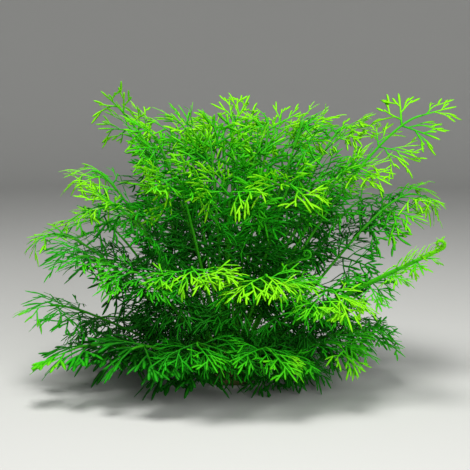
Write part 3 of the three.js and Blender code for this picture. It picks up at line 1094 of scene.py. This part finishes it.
def painted_daylight(place, middles):
    """How open to the light a place is, for the painted light and shade in the leaf colour: about 1 at the
    plant's top and outside, with nothing above it.
    """
    above = 0
    for other in middles:
        rise = other.z - place.z
        reach = SHADE_REACH + rise * SHADE_SPREAD
        if rise > SHADE_RISE and math.hypot(other.x - place.x, other.y - place.y) < reach:
            above += 1
    out = math.hypot(place.x, place.y, place.z * HEIGHT_COUNTS) / OUTSIDE_REACH
    return ABOVE_LIGHT / (1 + above / SHADE_COUNT) + OUTSIDE_LIGHT * min(out * out, 1)


def blade_choice(names, kind, length, dice):
    size = min(CUT_LENGTHS, key=lambda one: abs(math.log(one / length)))
    return names.index((kind, size, dice.randrange(CUT_SEEDS))), length / size


def tone_of(frond):
    """A frond's own tone, from deep green to lime, before the painted light and shade."""
    young = max(1 - frond.length / YOUNG_LENGTH, 0)
    drawn = FROND_TONES * chance(frond.number, 0, TONE_DRAW)
    return drawn + YOUNG_TONE * young + FRESHER.get(frond.number, 0)


def frond_base(frond, stances, middles, names):
    """The mesh that the shape tree grows a frond on: its stalk's line and a loose point for each leaflet."""
    dice = random.Random(frond.number)
    line = stalk_line(frond) + (roll_line(frond) if frond.rolled else [])
    line += dome(line)
    kind = frond.habit if frond.habit in CUTS else "fine"
    picked = [blade_choice(names, kind, one.length, dice) for one in stances]
    tone = tone_of(frond)
    tones = [mix(tone, dice.random(), LEAFLET_TONES) for _ in stances]
    # The painted light and shade of each point, which the leaf colour takes.
    light = [painted_daylight(place, middles) for place, _ in line]
    light += [painted_daylight(middle_of(one), middles) for one in stances]

    mesh = bpy.data.meshes.new(f"{frond.name}_line")
    places = [place for place, _ in line] + [one.foot for one in stances]
    count, rest = len(line), len(stances)
    mesh.from_pydata([place * MM for place in places], [(i, i + 1) for i in range(count - 1)], [])
    add_attribute(mesh, "thickness", "FLOAT", [radius * MM for _, radius in line] + [0.0] * rest)
    add_attribute(mesh, "leaflet", "BOOLEAN", [False] * count + [True] * rest)
    add_attribute(mesh, "blade", "INT", [0] * count + [index for index, _ in picked])
    add_attribute(mesh, "size", "FLOAT", [1.0] * count + [size for _, size in picked])
    add_attribute(mesh, "ahead", "FLOAT_VECTOR", [UP] * count + [one.ahead for one in stances])
    add_attribute(mesh, "normal", "FLOAT_VECTOR", [UP] * count + [one.normal for one in stances])
    add_attribute(mesh, "tone", "FLOAT", [tone] * count + tones)
    add_attribute(mesh, "light", "FLOAT", light)
    return mesh


def make_frond(frond, base, tree, blades, material):
    inputs = {
        "Blades": blades,
        "Stalk Sides": STALK_SIDES,
        "Floor Gap": FLOOR_GAP * MM,
        "Material": material,
    }
    slot = "young_frond" if frond.habit == "young" else "frond"
    made_piece(f"{frond.name}_leaf", base, tree, inputs, slot, frond.name)


# The crown

CROWN_FOOT = 20
CROWN_RINGS = 26
CROWN_STEPS = 72
CROWN_WAVES = 9
CROWN_INSET = 0.9  # how far the dome's middle lies inside the solid, so that its lumps stay inside too
CROWN_LUMPS = 1.3
CROWN_TOP_INSET = 0.6
BASE_INSET = 0.4
SCALE_START = 3  # scales stand above this height


def crown_mesh():
    """The rootstock: a blunt lumpy dome with a flat cut base."""
    dice = random.Random(4)
    waves = [
        (dice.randrange(3, 13), dice.uniform(0, 2 * math.pi), dice.uniform(1, 4)) for _ in range(CROWN_WAVES)
    ]
    points, faces = [], []
    profile = [(CROWN_FOOT * i / 6, 0.0) for i in range(1, 7)]
    profile += [(mix(CROWN_FOOT, CROWN_RADIUS, i / 4), CROWN_WAIST * i / 4) for i in range(1, 4)]
    for i in range(CROWN_RINGS):
        angle = math.pi / 2 * i / CROWN_RINGS
        profile.append((CROWN_RADIUS * math.cos(angle), CROWN_WAIST + CROWN_RISE * math.sin(angle)))
    points.append((0, 0, 0))
    for radius, height in profile:
        for k in range(CROWN_STEPS):
            a = 2 * math.pi * k / CROWN_STEPS
            lump = sum(math.sin(n * a + phase + height * rise / 6) for n, phase, rise in waves) / len(waves)
            here = radius - (CROWN_INSET + CROWN_LUMPS * lump if height > 0 else BASE_INSET)
            points.append((here * math.cos(a), here * math.sin(a), height))
    points.append((0, 0, CROWN_WAIST + CROWN_RISE - CROWN_TOP_INSET))
    steps, rows = CROWN_STEPS, len(profile)
    for k in range(steps):
        after = (k + 1) % steps
        faces.append((0, 1 + after, 1 + k))
        for row in range(rows - 1):
            low, high = 1 + row * steps, 1 + (row + 1) * steps
            faces.append((low + k, low + after, high + after, high + k))
        last = 1 + (rows - 1) * steps
        faces.append((last + k, last + after, len(points) - 1))
    mesh = bpy.data.meshes.new("crown")
    mesh.from_pydata([Vector(p) * MM for p in points], [], faces)
    mesh.shade_smooth()
    return mesh


def scale_shape():
    """One pointed scale, lying along X and cupped, with a few dozen faces."""
    length, wide, rows = 7.0, 1.5, 6
    points, faces = [], []
    for i in range(rows):
        share = i / rows
        half = wide * math.sin(math.pi * (0.22 + 0.78 * share) ** 0.8) * 0.5 + 0.12
        rise = 0.5 + 1.6 * share * share
        for y, z in ((-half, 0.25), (0, 0.0), (half, 0.25), (0, -0.18)):
            points.append(Vector((length * share, y, rise + z)) * MM)
    points.append(Vector((length, 0, 2.3)) * MM)
    faces.append((0, 1, 2, 3))
    for i in range(rows - 1):
        for k in range(4):
            near, far, after = 4 * i, 4 * (i + 1), (k + 1) % 4
            faces.append((near + k, far + k, far + after, near + after))
    for k in range(4):
        faces.append((4 * (rows - 1) + k, len(points) - 1, 4 * (rows - 1) + (k + 1) % 4))
    mesh = bpy.data.meshes.new("scale")
    mesh.from_pydata(points, [], faces)
    mesh.shade_smooth()
    return bpy.data.objects.new("scale", mesh)


def upper_crown(mesh):
    """The part of the crown that carries scales: all but its base."""
    top = mesh.copy()
    keep = [list(face.vertices) for face in top.polygons if face.center.z > SCALE_START * MM]
    points = [vertex.co.copy() for vertex in top.vertices]
    top.clear_geometry()
    top.from_pydata(points, [], keep)
    return top


def make_crown(scatter):
    mesh = crown_mesh()
    mesh.materials.append(crown_finish())
    kept_piece("crown_body", mesh, "crown", "crown")
    inputs = {
        "Shape": scale_shape(),
        "Spacing": 2.2 * MM,
        "Density": 200000.0,
        "Smallest": 0.5,
        "Seed": 7,
        "Material": scale_finish(),
    }
    made_piece("crown_scales", upper_crown(mesh), scatter, inputs, "crown")


# The studio


def make_studio():
    """A pale round floor that sweeps up all the way round."""
    flat, sweep, top = 1500, 600, 900
    profile = [(0, 0), (flat, 0)]
    for i in range(1, 13):
        a = math.pi / 2 * i / 12
        profile.append((flat + sweep * math.sin(a), sweep * (1 - math.cos(a))))
    profile.append((flat + sweep, sweep + top))
    steps = 96
    points = [(0, 0, 0)]
    faces = []
    for radius, height in profile[1:]:
        for k in range(steps):
            a = 2 * math.pi * k / steps
            points.append((radius * math.cos(a), radius * math.sin(a), height))
    for k in range(steps):
        after = (k + 1) % steps
        faces.append((0, 1 + k, 1 + after))
        for row in range(len(profile) - 2):
            low, high = 1 + row * steps, 1 + (row + 1) * steps
            faces.append((low + k, high + k, high + after, low + after))
    mesh = bpy.data.meshes.new("floor")
    mesh.from_pydata([Vector(p) * MM for p in points], [], faces)
    mesh.shade_smooth()
    mesh.materials.append(floor_finish())
    floor = bpy.data.objects.new("floor", mesh)
    bpy.context.scene.collection.objects.link(floor)


def add_light(name, place, aim, size, power, colour):
    data = bpy.data.lights.new(name, "AREA")
    data.shape = "SQUARE"
    data.size = size * MM
    data.energy = power
    data.color = colour
    light = bpy.data.objects.new(name, data)
    light.location = Vector(place) * MM
    light.rotation_euler = (Vector(aim) - Vector(place)).to_track_quat("-Z", "Y").to_euler()
    bpy.context.scene.collection.objects.link(light)


def make_lights():
    add_light("key", (-100, -300, 1150), (0, 0, 60), 480, 18, (1, 1, 0.97))
    add_light("front", (500, -1250, 620), (0, 0, 110), 800, 18, (1, 1, 1))
    world = bpy.data.worlds.new("studio")
    world.use_nodes = True
    background = world.node_tree.nodes["Background"]
    background.inputs["Color"].default_value = (0.95, 0.98, 1, 1)
    background.inputs["Strength"].default_value = 0.16
    bpy.context.scene.world = world
    bpy.context.scene.view_settings.view_transform = "Standard"


def make_camera():
    back = Vector((0, -math.cos(VIEW_ELEVATION), math.sin(VIEW_ELEVATION)))
    data = bpy.data.cameras.new("camera")
    data.sensor_width = SENSOR
    data.lens = SENSOR * VIEW_DISTANCE / (FRAME_WIDTH * VIEW_SCALE)
    camera = bpy.data.objects.new("camera", data)
    camera.location = (VIEW_TARGET + back * VIEW_DISTANCE) * MM
    camera.rotation_euler = (-back).to_track_quat("-Z", "Y").to_euler()
    bpy.context.scene.collection.objects.link(camera)
    bpy.context.scene.camera = camera


make_camera()
make_studio()
make_lights()
blades, blade_names = blade_collection()
leaf = leaf_finish("leaf")
young_leaf = leaf_finish("young_leaf", YOUNG_FRESHENS)
fronds_tree = frond_tree()
fronds = [
    (frond, stances_of(frond) + (bud_stances(frond) if frond.rolled else [])) for frond in all_fronds()
]
leaflet_middles = [middle_of(stance) for _, stances in fronds for stance in stances]
for one_frond, its_stances in fronds:
    one_leaf = young_leaf if one_frond.habit == "young" else leaf
    line_and_feet = frond_base(one_frond, its_stances, leaflet_middles, blade_names)
    make_frond(one_frond, line_and_feet, fronds_tree, blades, one_leaf)
make_crown(scatter_tree())
print(f"{len(leaflet_middles)} leaflets")
